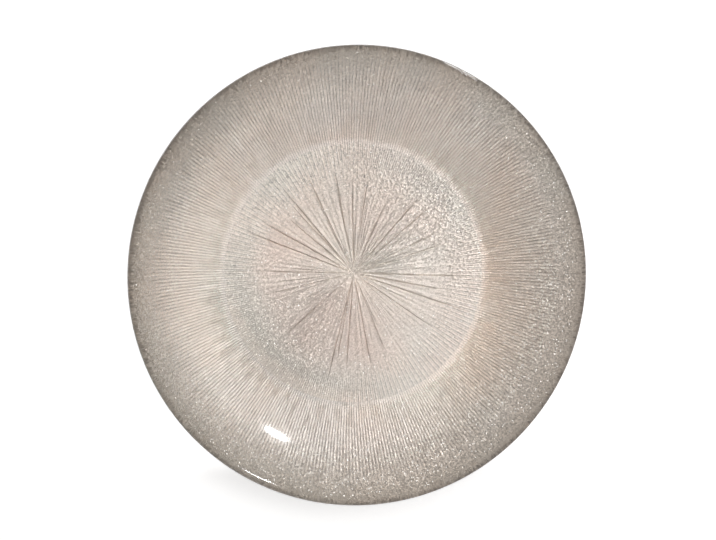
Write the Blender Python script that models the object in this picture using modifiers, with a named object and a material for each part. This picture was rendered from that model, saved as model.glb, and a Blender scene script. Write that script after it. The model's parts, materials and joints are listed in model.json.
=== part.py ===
"""Glass dessert plate: clear pressed glass with a ribbed underside and a lacquered back.

The plate lies on its foot ring, face up. Its axis is Z, and the origin is the
middle of the circle that the foot ring stands on. Lengths are in metres and
angles in radians.

A point of the profile is a pair: its distance from the axis and its height.
"""

import math

import bmesh
import bpy

# The glass
PLATE_DIAMETER = 0.210
PLATE_HEIGHT = 0.024
WELL_DIAMETER = 0.119
GLASS_THICKNESS = 0.004
WELL_FILLET = 0.020
RIM_START_SLOPE = math.radians(12.0)

# The foot ring, just inside the edge of the well
FOOT_INSET = 0.0023
FOOT_WIDTH = 0.0022
FOOT_FLANK = 0.0004
FOOT_CLEARANCE = 0.0006

# The ribs under the rim, and the sunburst of rays under the well
RIB_COUNT = 360
RIB_DEPTH = 0.0005
RIB_START_SLOPE = math.radians(3.0)
RIB_LIP_INSET = 0.003
RAY_COUNT = 72
RAY_DEPTH = 0.0004
RAY_CREST_RADIUS = 0.036
RAY_NECK_RADIUS = 0.012
RAY_BOSS_RADIUS = 0.003

# The lacquer on the back: glitter, then an opaque ground, then a clear seal
GLITTER_THICKNESS = 0.00025
GROUND_THICKNESS = 0.0002
SEAL_THICKNESS = 0.00015
COAT_GAP = 0.0002
COAT_EDGE_GAP = 0.0003

# How finely round stretches are drawn
PLAIN_SEGMENTS = 72
COAT_SEGMENTS = 48
FILLET_STEPS = 2
RIM_FRONT_STEPS = 4
RIM_RIB_STEPS = 3
LIP_STEPS = 2
SHARP_ANGLE = math.radians(30.0)
WELD_DISTANCE = 0.00001

# Heights, from the table up
COATS = (
    ("glitter_coat", GLITTER_THICKNESS),
    ("ground_coat", GROUND_THICKNESS),
    ("seal_coat", SEAL_THICKNESS),
)
COAT_STACK = sum(COAT_GAP + thickness for _, thickness in COATS)
FOOT_HEIGHT = max(RIB_DEPTH, RAY_DEPTH) + COAT_STACK + FOOT_CLEARANCE
HALF_WALL = GLASS_THICKNESS / 2
FLOOR_MIDDLE = FOOT_HEIGHT + HALF_WALL
FLOOR_TOP = FOOT_HEIGHT + GLASS_THICKNESS

# The foot ring's radii, where it bears on the table and where it meets the floor
WELL_RADIUS = WELL_DIAMETER / 2
FOOT_RADIUS = WELL_RADIUS - FOOT_INSET
BEARING_OUTER = FOOT_RADIUS + FOOT_WIDTH / 2
BEARING_INNER = FOOT_RADIUS - FOOT_WIDTH / 2
FOOT_OUTER = BEARING_OUTER + FOOT_FLANK
FOOT_INNER = BEARING_INNER - FOOT_FLANK

# The rim's mid line: a fillet out of the well, then one arc up to the lip's centre
FILLET_CENTRE = (WELL_RADIUS, FLOOR_TOP + WELL_FILLET)
FILLET_RADIUS = WELL_FILLET + HALF_WALL
FILLET_END = (
    FILLET_CENTRE[0] + FILLET_RADIUS * math.sin(RIM_START_SLOPE),
    FILLET_CENTRE[1] - FILLET_RADIUS * math.cos(RIM_START_SLOPE),
)
LIP_CENTRE = (PLATE_DIAMETER / 2 - HALF_WALL, PLATE_HEIGHT - HALF_WALL)
RIM_RUN = LIP_CENTRE[0] - FILLET_END[0]
RIM_RISE = LIP_CENTRE[1] - FILLET_END[1]
RIM_HALF_TURN = math.atan2(RIM_RISE, RIM_RUN) - RIM_START_SLOPE
RIM_RADIUS = math.hypot(RIM_RUN, RIM_RISE) / (2 * math.sin(RIM_HALF_TURN))
RIM_END_SLOPE = RIM_START_SLOPE + 2 * RIM_HALF_TURN
RIM_CENTRE = (
    FILLET_END[0] - RIM_RADIUS * math.sin(RIM_START_SLOPE),
    FILLET_END[1] + RIM_RADIUS * math.cos(RIM_START_SLOPE),
)
RIB_END_SLOPE = RIM_END_SLOPE - RIB_LIP_INSET / RIM_RADIUS


def spread(start, end, steps):
    """Values after start and up to end, in even steps."""
    return [start + (end - start) * (i + 1) / steps for i in range(steps)]


def fillet_point(slope, below):
    """A point of the fillet where it climbs at this slope, this far below its mid line."""
    reach = FILLET_RADIUS + below
    return (
        FILLET_CENTRE[0] + reach * math.sin(slope),
        FILLET_CENTRE[1] - reach * math.cos(slope),
    )


def rim_point(slope, below):
    """A point of the rim where it climbs at this slope, this far below its mid line."""
    reach = RIM_RADIUS + below
    return (
        RIM_CENTRE[0] + reach * math.sin(slope),
        RIM_CENTRE[1] - reach * math.cos(slope),
    )


def rib_line(below):
    """A line along a rib, this far below the mid line, from the foot ring out to the lip."""
    points = [fillet_point(slope, below) for slope in (RIB_START_SLOPE, RIM_START_SLOPE)]
    for slope in spread(RIM_START_SLOPE, RIB_END_SLOPE, RIM_RIB_STEPS):
        points.append(rim_point(slope, below))
    return points


def face_profile():
    """The smooth face, from the edge of the well out to the lip."""
    points = [(WELL_RADIUS, FLOOR_TOP)]
    for slope in spread(0.0, RIM_START_SLOPE, FILLET_STEPS):
        points.append(fillet_point(slope, -HALF_WALL))
    for slope in spread(RIM_START_SLOPE, RIM_END_SLOPE, RIM_FRONT_STEPS):
        points.append(rim_point(slope, -HALF_WALL))
    return points


def lip_profile():
    """The round lip, from its top over its widest point to its back."""
    top = math.pi / 2
    widest = 0.0
    back = RIM_END_SLOPE - math.pi / 2
    angles = [top] + spread(top, widest, LIP_STEPS) + spread(widest, back, LIP_STEPS)
    return [
        (
            LIP_CENTRE[0] + HALF_WALL * math.cos(angle),
            LIP_CENTRE[1] + HALF_WALL * math.sin(angle),
        )
        for angle in angles
    ]


def foot_profile():
    """The foot ring's section, from its outer root to its inner root."""
    return [
        (FOOT_OUTER, FOOT_HEIGHT),
        (BEARING_OUTER, 0.0),
        (BEARING_INNER, 0.0),
        (FOOT_INNER, FOOT_HEIGHT),
    ]


def ray_section(radius):
    """Valley and crest of the rays this far from the axis, shallower towards the middle."""
    depth = RAY_DEPTH * radius / RAY_CREST_RADIUS
    return [(radius, FOOT_HEIGHT), (radius, FOOT_HEIGHT - depth)]


def add_ring(bm, count, section):
    """Add a closed loop of edges that goes through the section's points in turn."""
    verts = []
    for i in range(count):
        radius, height = section[i % len(section)]
        angle = 2 * math.pi * i / count
        place = (radius * math.cos(angle), radius * math.sin(angle), height)
        verts.append(bm.verts.new(place))
    return [bm.edges.new((verts[i - 1], verts[i])) for i in range(count)]


def glass_rings(bm):
    """The glass's loops in order, from the edge of the well over the lip to the middle of the back."""
    rings = []
    for point in face_profile() + lip_profile():
        rings.append(add_ring(bm, PLAIN_SEGMENTS, [point]))
    valleys = rib_line(HALF_WALL)
    crests = rib_line(HALF_WALL + RIB_DEPTH)
    for valley, crest in reversed(list(zip(valleys, crests))):
        rings.append(add_ring(bm, 2 * RIB_COUNT, [valley, crest]))
    for point in foot_profile():
        rings.append(add_ring(bm, PLAIN_SEGMENTS, [point]))
    for radius in (RAY_CREST_RADIUS, RAY_NECK_RADIUS):
        rings.append(add_ring(bm, 2 * RAY_COUNT, ray_section(radius)))
    rings.append(add_ring(bm, 2 * RAY_COUNT, [(RAY_BOSS_RADIUS, FOOT_HEIGHT)]))
    return rings


def glass_plate_mesh():
    """The pressed glass, lofted from ring to ring and closed by two flat discs."""
    bm = bmesh.new()
    rings = glass_rings(bm)
    for ring, next_ring in zip(rings, rings[1:]):
        bmesh.ops.bridge_loops(bm, edges=ring + next_ring)
    bmesh.ops.edgeloop_fill(bm, edges=rings[0])
    bmesh.ops.edgeloop_fill(bm, edges=rings[-1])
    bmesh.ops.recalc_face_normals(bm, faces=bm.faces)
    mesh = bpy.data.meshes.new("glass_plate")
    bm.to_mesh(mesh)
    bm.free()
    mesh.shade_smooth()
    mesh.set_sharp_from_angle(angle=SHARP_ANGLE)
    return mesh


def rim_coat_profile(gap, thickness):
    """The closed section of a coat under the ribs, with this gap to their crests."""
    upper = HALF_WALL + RIB_DEPTH + gap
    lower = upper + thickness
    inner = FOOT_OUTER + COAT_EDGE_GAP
    inner_edge = [(inner, FLOOR_MIDDLE - lower), (inner, FLOOR_MIDDLE - upper)]
    return list(reversed(rib_line(lower))) + inner_edge + rib_line(upper)


def well_coat_profile(gap, thickness):
    """Half the section of a coat under the rays, with this gap to their crests."""
    upper = FOOT_HEIGHT - RAY_DEPTH - gap
    lower = upper - thickness
    edge = FOOT_INNER - COAT_EDGE_GAP
    return [(0.0, upper), (edge, upper), (edge, lower), (0.0, lower)]


def profile_mesh(name, profile, closed):
    """A profile as a chain of edges in the XZ plane."""
    bm = bmesh.new()
    verts = [bm.verts.new((radius, 0.0, height)) for radius, height in profile]
    for i in range(0 if closed else 1, len(verts)):
        bm.edges.new((verts[i - 1], verts[i]))
    mesh = bpy.data.meshes.new(name)
    bm.to_mesh(mesh)
    bm.free()
    return mesh


def turn(obj):
    """Turn an object's profile once round the plate's axis."""
    screw = obj.modifiers.new("turn", "SCREW")
    screw.axis = "Z"
    screw.angle = 2 * math.pi
    screw.steps = COAT_SEGMENTS
    screw.render_steps = COAT_SEGMENTS
    screw.use_merge_vertices = True
    screw.merge_threshold = WELD_DISTANCE
    screw.use_smooth_shade = True


def make_material(name, colour, roughness, metallic=0.0, transmission=0.0):
    """A Principled material of one colour."""
    material = bpy.data.materials.new(name)
    material.use_nodes = True
    shader = material.node_tree.nodes["Principled BSDF"]
    shader.inputs["Base Color"].default_value = (*colour, 1.0)
    shader.inputs["Roughness"].default_value = roughness
    shader.inputs["Metallic"].default_value = metallic
    shader.inputs["Transmission Weight"].default_value = transmission
    material.diffuse_color = (*colour, 1.0)
    return material


def add_part(name, mesh, material, collection, axis):
    """Put a mesh into the plate's collection, on the plate's axis."""
    mesh.materials.append(material)
    obj = bpy.data.objects.new(name, mesh)
    obj.parent = axis
    collection.objects.link(obj)
    return obj


def build_glass(collection, axis):
    """The glass body, which everything else is sprayed on."""
    clear_glass = make_material("clear_glass", (0.95, 0.96, 0.95), 0.03, transmission=1.0)
    add_part("glass_plate", glass_plate_mesh(), clear_glass, collection, axis)


def build_coats(collection, axis):
    """The coats, each in two areas, because the foot ring between them stays bare glass."""
    materials = {
        "glitter_coat": make_material("champagne_glitter", (0.62, 0.55, 0.49), 0.35, metallic=0.6),
        "ground_coat": make_material("beige_ground", (0.50, 0.43, 0.37), 0.5),
        "seal_coat": make_material("clear_seal", (0.56, 0.50, 0.45), 0.2),
    }
    gap = 0.0
    for coat, thickness in COATS:
        gap += COAT_GAP
        for area, profile, closed in (
            ("rim", rim_coat_profile(gap, thickness), True),
            ("well", well_coat_profile(gap, thickness), False),
        ):
            name = area + "_" + coat
            mesh = profile_mesh(name, profile, closed)
            turn(add_part(name, mesh, materials[coat], collection, axis))
        gap += thickness


def main():
    """Build the plate in an empty scene."""
    for obj in list(bpy.data.objects):
        bpy.data.objects.remove(obj, do_unlink=True)
    collection = bpy.data.collections.new("glass_dessert_plate")
    bpy.context.scene.collection.children.link(collection)
    axis = bpy.data.objects.new("plate_axis", None)
    collection.objects.link(axis)
    build_glass(collection, axis)
    build_coats(collection, axis)


if __name__ == "__main__":
    main()
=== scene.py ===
"""Looks of a glass dessert plate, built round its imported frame.

The plate is clear pressed glass with a smooth face. Its underside has fine radial
ribs under the rim, and a sunburst of rays and a pebbled ground under the well. The
back is lacquered: champagne glitter, which shows through the glass, then an opaque
ground, then a clear seal. Lengths are in metres and angles in radians, in the
frame's own axes: the plate lies face up and Z is its axis. Rays, patches and lamps
have their bearings in degrees, counted from X towards Y.
"""

from __future__ import annotations

import json
import logging
import math
from dataclasses import dataclass, field
from enum import Enum
from functools import reduce
from typing import Any, Iterable, Sequence

import bpy
import numpy as np
from mathutils import Matrix, Vector

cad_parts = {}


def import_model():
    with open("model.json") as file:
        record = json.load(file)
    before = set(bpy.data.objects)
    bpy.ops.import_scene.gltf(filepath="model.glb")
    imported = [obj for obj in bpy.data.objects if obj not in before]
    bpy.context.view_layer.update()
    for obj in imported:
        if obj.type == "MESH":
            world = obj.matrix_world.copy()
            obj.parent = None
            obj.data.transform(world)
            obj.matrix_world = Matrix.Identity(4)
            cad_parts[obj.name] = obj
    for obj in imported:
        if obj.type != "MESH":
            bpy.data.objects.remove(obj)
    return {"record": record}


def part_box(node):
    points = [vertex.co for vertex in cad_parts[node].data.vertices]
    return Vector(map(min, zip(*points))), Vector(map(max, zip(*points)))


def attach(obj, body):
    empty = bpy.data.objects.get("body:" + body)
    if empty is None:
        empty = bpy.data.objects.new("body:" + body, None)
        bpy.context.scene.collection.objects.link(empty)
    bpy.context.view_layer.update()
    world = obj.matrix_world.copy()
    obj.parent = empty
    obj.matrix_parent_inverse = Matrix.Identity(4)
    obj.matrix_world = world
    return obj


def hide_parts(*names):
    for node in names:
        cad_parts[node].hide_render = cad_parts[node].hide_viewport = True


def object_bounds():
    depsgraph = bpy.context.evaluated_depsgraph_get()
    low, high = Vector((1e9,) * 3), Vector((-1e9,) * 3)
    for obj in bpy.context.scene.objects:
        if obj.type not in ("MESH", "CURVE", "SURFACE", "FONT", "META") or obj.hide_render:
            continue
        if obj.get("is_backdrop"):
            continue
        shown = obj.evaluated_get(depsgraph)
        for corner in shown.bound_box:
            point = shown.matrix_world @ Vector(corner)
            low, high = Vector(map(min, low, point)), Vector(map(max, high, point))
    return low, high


LOG = logging.getLogger("dessert_plate")
MM = 0.001
BODY = "root"
WHITE = (1.0, 1.0, 1.0, 1.0)
# How many points a ring without relief has
PLAIN_COUNT = 360
# A limit that every point of the plate is past, as a length or as a cosine
EVERYWHERE = (-2.0, -1.0)
LIMIT_ENDS = (" Low", " High")

Array = np.ndarray
Point = tuple[float, float]
Colour = tuple[float, float, float]
Side = tuple[float, float, float]
Socket = bpy.types.NodeSocket
Piece = bpy.types.Object
Material = bpy.types.Material


class CoatArea(Enum):
    """The two areas of the back that are lacquered apart."""

    RIM = "rim"
    WELL = "well"


class CoatLayer(Enum):
    """The coats, in the order in which they are sprayed on."""

    GLITTER = "glitter"
    GROUND = "ground"
    SEAL = "seal"


class Shows(Enum):
    """What a lamp shows in: the glass alone, as a glint, or all but the glass."""

    GLASS = "glass"
    COATS = "coats"


class Draw(Enum):
    """What is drawn at random, each from a seed of its own."""

    RIBS = 0
    RAYS = 1
    PEBBLES = 2
    FACETS = 3


def mm(*lengths: float) -> tuple[float, ...]:
    """Lengths in metres, from millimetres."""
    return tuple(length * MM for length in lengths)


def unit(vector: Array) -> Array:
    """A vector of length one along the given one."""
    return vector / np.linalg.norm(vector)


def turns(count: int) -> Array:
    """Even angles once round the axis."""
    return np.arange(count) * math.tau / count


def ease(low: float, high: float, value: Any) -> Array:
    """Go smoothly from 0 at low to 1 at high, where low may be the larger."""
    t = np.clip((np.asarray(value) - low) / (high - low), 0.0, 1.0)
    return t * t * (3.0 - 2.0 * t)


def on_arc(centre: Point, reach: float, slope: float) -> Point:
    """Radius and height of a point of a profile's arc below its centre, by the slope it climbs at."""
    return (centre[0] + reach * math.sin(slope), centre[1] - reach * math.cos(slope))


def arc(centre: Point, reach: float, first: float, last: float, steps: int) -> list[Point]:
    """Points of such an arc, from one slope to another."""
    return [on_arc(centre, reach, slope) for slope in np.linspace(first, last, steps + 1)]


def round_corners(points: Sequence[Point], cut: float, steps: int) -> list[Point]:
    """Round the inner corners of a chain of points.

    Args:
        points: The chain's points.
        cut: How far from each corner its rounding begins.
        steps: How many stretches draw each rounding.

    Returns:
        The chain with each corner replaced by a short curve.
    """
    rounded = [points[0]]
    for before, corner, after in zip(points, points[1:], points[2:]):
        start = np.array(corner) + cut * unit(np.subtract(before, corner))
        end = np.array(corner) + cut * unit(np.subtract(after, corner))
        for t in np.linspace(0.0, 1.0, steps + 1):
            bend = (1 - t) ** 2 * start + 2 * t * (1 - t) * np.array(corner) + t**2 * end
            rounded.append((float(bend[0]), float(bend[1])))
    return [*rounded, points[-1]]


@dataclass(frozen=True)
class PlateShape:
    """The plate's turned profile. The frame gives the outer sizes, and the rest are set here."""

    plate_radius: float
    plate_height: float
    floor_top: float
    foot_radius: float
    glass_thickness: float = 4.0 * MM
    foot_inset: float = 2.3 * MM
    foot_width: float = 2.2 * MM
    foot_flank: float = 0.4 * MM
    foot_rounding: float = 0.5 * MM
    well_fillet: float = 20.0 * MM
    rim_start_slope: float = math.radians(12.0)
    knee_reach: float = 16.0 * MM
    knee_turn: float = math.radians(12.5)
    knee_end: float = 0.521 * MM
    fillet_steps: int = 6
    rim_steps: int = 24

    @classmethod
    def from_frame(cls, record: dict[str, Any]) -> PlateShape:
        """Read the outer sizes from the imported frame.

        Args:
            record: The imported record, whose mounts lie on the foot and in the well.

        Returns:
            The plate's profile.
        """
        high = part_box("glass_plate")[1]
        mounts = {mount["name"]: mount["pos_m"] for mount in record["mounts"]}
        return cls(
            plate_radius=high.x,
            plate_height=high.z,
            floor_top=mounts["well_face"][2],
            foot_radius=mounts["foot_face"][0],
        )

    @property
    def half_wall(self) -> float:
        """Half the thickness of the glass."""
        return self.glass_thickness / 2

    @property
    def underside(self) -> float:
        """Height of the glass's flat underside."""
        return self.floor_top - self.glass_thickness

    @property
    def well_radius(self) -> float:
        """Radius of the well's flat floor."""
        return self.foot_radius + self.foot_inset

    @property
    def foot_outer(self) -> float:
        """Radius at which the foot ring's outer flank meets the underside."""
        return self.foot_radius + self.foot_width / 2 + self.foot_flank

    @property
    def foot_inner(self) -> float:
        """Radius at which the foot ring's inner flank meets the underside."""
        return self.foot_radius - self.foot_width / 2 - self.foot_flank

    @property
    def fillet_centre(self) -> Point:
        """Centre of the fillet that leads from the well into the rim."""
        return (self.well_radius, self.floor_top + self.well_fillet)

    @property
    def fillet_reach(self) -> float:
        """Radius of the fillet at the middle of the glass."""
        return self.well_fillet + self.half_wall

    @property
    def lip_centre(self) -> Point:
        """Centre of a plain round lip, to which the rim's arc leads."""
        return (self.plate_radius - self.half_wall, self.plate_height - self.half_wall)

    @property
    def rim_start(self) -> Point:
        """Where the fillet ends and the rim's arc begins, at the middle of the glass."""
        return on_arc(self.fillet_centre, self.fillet_reach, self.rim_start_slope)

    @property
    def rim_half_turn(self) -> float:
        """Half the angle through which the rim's arc turns."""
        run, rise = np.subtract(self.lip_centre, self.rim_start)
        return math.atan2(rise, run) - self.rim_start_slope

    @property
    def rim_reach(self) -> float:
        """Radius of the rim's arc at the middle of the glass."""
        return math.dist(self.rim_start, self.lip_centre) / (2 * math.sin(self.rim_half_turn))

    @property
    def rim_end_slope(self) -> float:
        """Slope of the rim at the lip."""
        return self.rim_start_slope + 2 * self.rim_half_turn

    @property
    def rim_centre(self) -> Point:
        """Centre of the rim's arc."""
        return on_arc(self.lip_centre, -self.rim_reach, self.rim_end_slope)

    @property
    def knee_run(self) -> float:
        """How far before the lip the face begins to roll off."""
        return self.knee_reach * self.knee_turn - self.knee_end

    @property
    def knee_slope(self) -> float:
        """Slope of the face where it begins to roll off."""
        return self.rim_end_slope - self.knee_run / self.rim_reach

    @property
    def knee_centre(self) -> Point:
        """Centre of the arc in which the face rolls off."""
        start = on_arc(self.rim_centre, self.rim_reach - self.half_wall, self.knee_slope)
        return on_arc(start, self.knee_reach, self.knee_slope)

    @property
    def lip_slope(self) -> float:
        """Slope of the rolled-off face where the round lip begins."""
        return self.knee_slope - self.knee_turn

    @property
    def back_slope(self) -> float:
        """Slope at which the round lip ends and the back begins, counted on from the face."""
        return self.rim_end_slope - math.pi

    @property
    def lip_circle(self) -> tuple[Point, float]:
        """Centre and radius of the round edge that joins the rolled-off face to the back."""
        down = np.array(on_arc((0.0, 0.0), 1.0, self.rim_end_slope))
        out = np.array(on_arc((0.0, 0.0), -1.0, self.lip_slope))
        last = np.array(self.knee(1)[-1])
        back = np.array(self.lip_centre) + self.half_wall * down
        reach = float((back - last) @ down / (1.0 - out @ down))
        centre = last - reach * out
        return (float(centre[0]), float(centre[1])), reach

    def wall(self, below: float, short: float = 0.0) -> list[Point]:
        """A line along the fillet and the rim, from the well's edge towards the lip.

        Args:
            below: How far it lies below the middle of the glass.
            short: How far before the lip it ends.

        Returns:
            Radius and height of each point.
        """
        start, last = self.rim_start_slope, self.rim_end_slope - short / self.rim_reach
        fillet = arc(self.fillet_centre, self.fillet_reach + below, 0.0, start, self.fillet_steps)
        return fillet + arc(self.rim_centre, self.rim_reach + below, start, last, self.rim_steps)[1:]

    def wall_end(self, below: float, short: float, steps: int) -> list[Point]:
        """The stretch of such a line that is missing where it ends that far before the lip."""
        first = self.rim_end_slope - short / self.rim_reach
        return arc(self.rim_centre, self.rim_reach + below, first, self.rim_end_slope, steps)

    def knee(self, steps: int) -> list[Point]:
        """The last of the face after its first point, where it rolls off softly towards the lip."""
        return arc(self.knee_centre, -self.knee_reach, self.knee_slope, self.lip_slope, steps)[1:]

    def lip(self, steps: int) -> list[Point]:
        """The round lip after its first point, from the end of the face to the start of the back."""
        centre, reach = self.lip_circle
        return arc(centre, -reach, self.lip_slope, self.back_slope, steps)[1:]

    def lip_back(self, inset: float, top: float, steps: int) -> list[Point]:
        """The back of the lip after its first point, that far inside the glass, up to an angle."""
        centre, reach = self.lip_circle
        return arc(centre, inset - reach, self.back_slope, top - math.pi / 2, steps)[1:]

    def foot(self, inset: float, steps: int) -> list[Point]:
        """The foot ring's section, from its outer root to its inner root.

        Args:
            inset: How far inside the glass the line lies.
            steps: How many stretches draw each rounded corner.

        Returns:
            Radius and height of each point.
        """
        half = self.foot_width / 2 - inset
        corners = [
            (self.foot_outer - inset, self.underside),
            (self.foot_radius + half, inset),
            (self.foot_radius - half, inset),
            (self.foot_inner + inset, self.underside),
        ]
        return round_corners(corners, self.foot_rounding, steps)


@dataclass(frozen=True)
class Ray:
    """One of the sunburst's rays: its bearing in degrees, where it begins and ends, and its depth."""

    bearing: float
    root: float
    reach: float
    depth: float


# The rays that stand out: bearing in degrees, then root, reach and depth in millimetres
MAIN_RAYS = (
    (17.5, 6, 49, 0.26),
    (25.5, 8, 47, 0.28),
    (40.5, 12, 53, 0.24),
    (49.0, 10, 51, 0.24),
    (81.5, 6, 51, 0.24),
    (91.0, 4, 45, 0.24),
    (100.5, 8, 55, 0.28),
    (115.5, 5, 57, 0.28),
    (130.0, 6, 53, 0.34),
    (132.5, 8, 45, 0.30),
    (140.0, 7, 43, 0.28),
    (150.5, 4, 53, 0.38),
    (158.5, 6, 57, 0.42),
    (178.5, 3, 47, 0.22),
    (193.5, 6, 45, 0.22),
    (222.0, 9, 47, 0.22),
    (256.0, 10, 53, 0.28),
    (259.0, 9, 45, 0.28),
    (265.5, 8, 49, 0.26),
    (280.5, 3, 49, 0.28),
    (292.0, 5, 45, 0.24),
    (325.0, 4, 49, 0.24),
    (341.0, 4, 55, 0.28),
    (349.0, 5, 45, 0.24),
    (358.0, 6, 57, 0.34),
)


@dataclass(frozen=True)
class Relief:
    """The pressed relief of the underside, as the depth to which the glass stands out there."""

    seed: int = 7
    rib_count: int = 360
    rib_points: int = 4
    rib_depth: float = 0.34 * MM
    # Radius, and the share of the ribs' depth there
    rib_course: tuple[Point, ...] = (
        (60.0 * MM, 0.4),
        (62.5 * MM, 1.0),
        (70.0 * MM, 1.0),
        (92.0 * MM, 0.7),
        (100.5 * MM, 0.0),
    )
    rib_unevenness: float = 0.38
    rib_stretch: float = 5.0 * MM
    inner_rib_depth: float = 0.12 * MM
    inner_rib_edges: Point = mm(40, 56)
    pebble_pitch: float = 1.05 * MM
    pebble_depth: float = 0.25 * MM
    pebble_edges: Point = mm(14, 44)
    pebble_least: float = 0.25
    pebble_tile: int = 128
    ray_step: float = math.radians(0.5)
    ray_half_width: float = 0.22 * MM
    ray_half_angle: float = math.radians(2.2)
    ray_root_share: float = 0.6
    ray_growth: Point = (0.5, 1.6)
    ray_fade: float = 0.7
    ray_full: float = 5.0 * MM
    fine_ray_count: int = 130
    fine_ray_depth: float = 0.15 * MM
    fine_ray_roots: Point = mm(2, 12)
    fine_ray_lengths: Point = mm(8, 30)
    fine_ray_shares: Point = (0.3, 1.0)
    facet_depth: float = 0.20 * MM
    facet_radius: float = 24.0 * MM
    facet_end: float = 58.0 * MM
    facet_widths: Point = (math.radians(1.0), math.radians(3.0))
    facet_draws: int = 400
    facet_unevenness: float = 0.4
    middle_radius: float = 1.0 * MM
    smooth_bearing: float = math.radians(222)
    smooth_reach: Point = mm(-4, 34)
    smooth_share: float = 0.25

    @property
    def fine_count(self) -> int:
        """How many points a ring has that draws the ribs."""
        return self.rib_points * self.rib_count

    @property
    def main_rays(self) -> list[Ray]:
        """The rays that stand out."""
        return [Ray(bearing, *mm(*sizes)) for bearing, *sizes in MAIN_RAYS]

    @property
    def well_depth(self) -> float:
        """The most that the sunburst and the pebbles stand out together."""
        return max(ray.depth for ray in self.main_rays) + self.facet_depth + self.pebble_depth

    def chance(self, draw: Draw) -> np.random.Generator:
        """The random numbers for one of the draws, from the first."""
        return np.random.default_rng(self.seed + draw.value)

    def rib_wave(self, turn: Array) -> Array:
        """How far each turn round the axis is into the cut between two round ribs, from 0 to 1."""
        return 1.0 - np.abs(np.sin(self.rib_count * turn / 2))

    def rim_depth(self, radius: float, turn: Array) -> Array:
        """Depth of the ribs.

        Args:
            radius: Distance from the axis.
            turn: Angles round the axis.

        Returns:
            How far the glass stands out of its plain back at each angle.
        """
        bands = math.ceil(self.rib_course[-1][0] / self.rib_stretch) + 2
        stretches = self.chance(Draw.RIBS).random((bands, self.rib_count))
        band, along = divmod(radius / self.rib_stretch, 1.0)
        uneven = (1.0 - along) * stretches[int(band)] + along * stretches[int(band) + 1]
        rib = np.floor(turn * self.rib_count / math.tau + 0.5).astype(int) % self.rib_count
        share = np.interp(radius, *zip(*self.rib_course))
        return self.rib_depth * share * (1.0 - self.rib_unevenness * uneven[rib]) * self.rib_wave(turn)

    def inner_rib_gap(self, radius: float, turn: Array) -> Array:
        """How far the gaps between the ribs that run on into the well reach into the glass."""
        ribbed = ease(*self.inner_rib_edges, radius)
        return self.inner_rib_depth * ribbed * (1.0 - self.rib_wave(turn))

    def smoothing(self, radius: float, turn: Any) -> Array:
        """What share of its pebbles and small rays the well keeps at each angle: less on its smooth side."""
        along = radius * np.cos(turn - self.smooth_bearing)
        return 1.0 - (1.0 - self.smooth_share) * ease(*self.smooth_reach, along)

    def fine_rays(self) -> list[Ray]:
        """The small rays between the main ones, at random bearings.

        Returns:
            The rays, which are shallower on the well's smooth side.
        """
        chance = self.chance(Draw.RAYS)
        rays = []
        for _ in range(self.fine_ray_count):
            bearing = math.degrees(self.ray_step) * chance.integers(round(math.tau / self.ray_step))
            root = chance.uniform(*self.fine_ray_roots)
            reach = root + chance.uniform(*self.fine_ray_lengths)
            depth = self.fine_ray_depth * chance.uniform(*self.fine_ray_shares)
            kept = float(self.smoothing(self.smooth_reach[1], math.radians(bearing)))
            rays.append(Ray(bearing, root, reach, depth * kept))
        return rays

    def facet_height(self, radius: float, turn: Array) -> Array:
        """Height of the fan of long flat facets between the rays.

        Args:
            radius: Distance from the axis.
            turn: Angles round the axis.

        Returns:
            How far the glass stands out of its flat underside at each angle.
        """
        chance = self.chance(Draw.FACETS)
        widths = chance.uniform(*self.facet_widths, self.facet_draws)
        knots = np.cumsum(widths)
        knots = knots[knots < math.tau - widths[0]]
        knots = np.round(knots / self.ray_step) * self.ray_step
        heights = chance.uniform(0.0, self.facet_unevenness, len(knots))
        heights[::2] += 1.0 - self.facet_unevenness
        opens = min(radius / self.facet_radius, 1.0)
        fades = float(ease(self.facet_end, self.facet_radius, radius))
        return self.facet_depth * opens * fades * np.interp(turn, knots, heights, period=math.tau)

    def ray_depth(self, radius: float, turn: Array) -> Array:
        """Depth of the sunburst: its fan of facets, with the rays cut into them.

        Args:
            radius: Distance from the axis.
            turn: Angles round the axis.

        Returns:
            How far the glass stands out of its flat underside at each angle.
        """
        cut = np.zeros_like(turn)
        opens = min(radius / self.ray_full, 1.0)
        half_width = max(min(self.ray_half_width / radius, self.ray_half_angle), turn[1] - turn[0])
        for ray in (*self.main_rays, *self.fine_rays()):
            off = np.abs((turn - math.radians(ray.bearing) + math.pi) % math.tau - math.pi)
            across = np.clip(1.0 - off / half_width, 0.0, 1.0)
            full = float(ease(*(share * ray.root for share in self.ray_growth), radius))
            grows = self.ray_root_share + (1.0 - self.ray_root_share) * full
            fades = float(ease(ray.reach, self.ray_fade * ray.reach, radius))
            cut = np.maximum(cut, ray.depth * opens * grows * fades * across)
        return cut + self.facet_height(radius, turn)

    def pebble_height(self, radius: float, turn: Array) -> Array:
        """Height of the pebbles that cover the well's underside.

        Args:
            radius: Distance from the axis.
            turn: Angles round the axis.

        Returns:
            How far the glass stands out at each angle, on top of the rays.
        """
        domes = self.domes(radius * np.cos(turn), radius * np.sin(turn))
        least = self.pebble_least
        share = least + (1.0 - least) * ease(*self.pebble_edges, radius)
        return self.pebble_depth * share * domes * self.smoothing(radius, turn)

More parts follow.
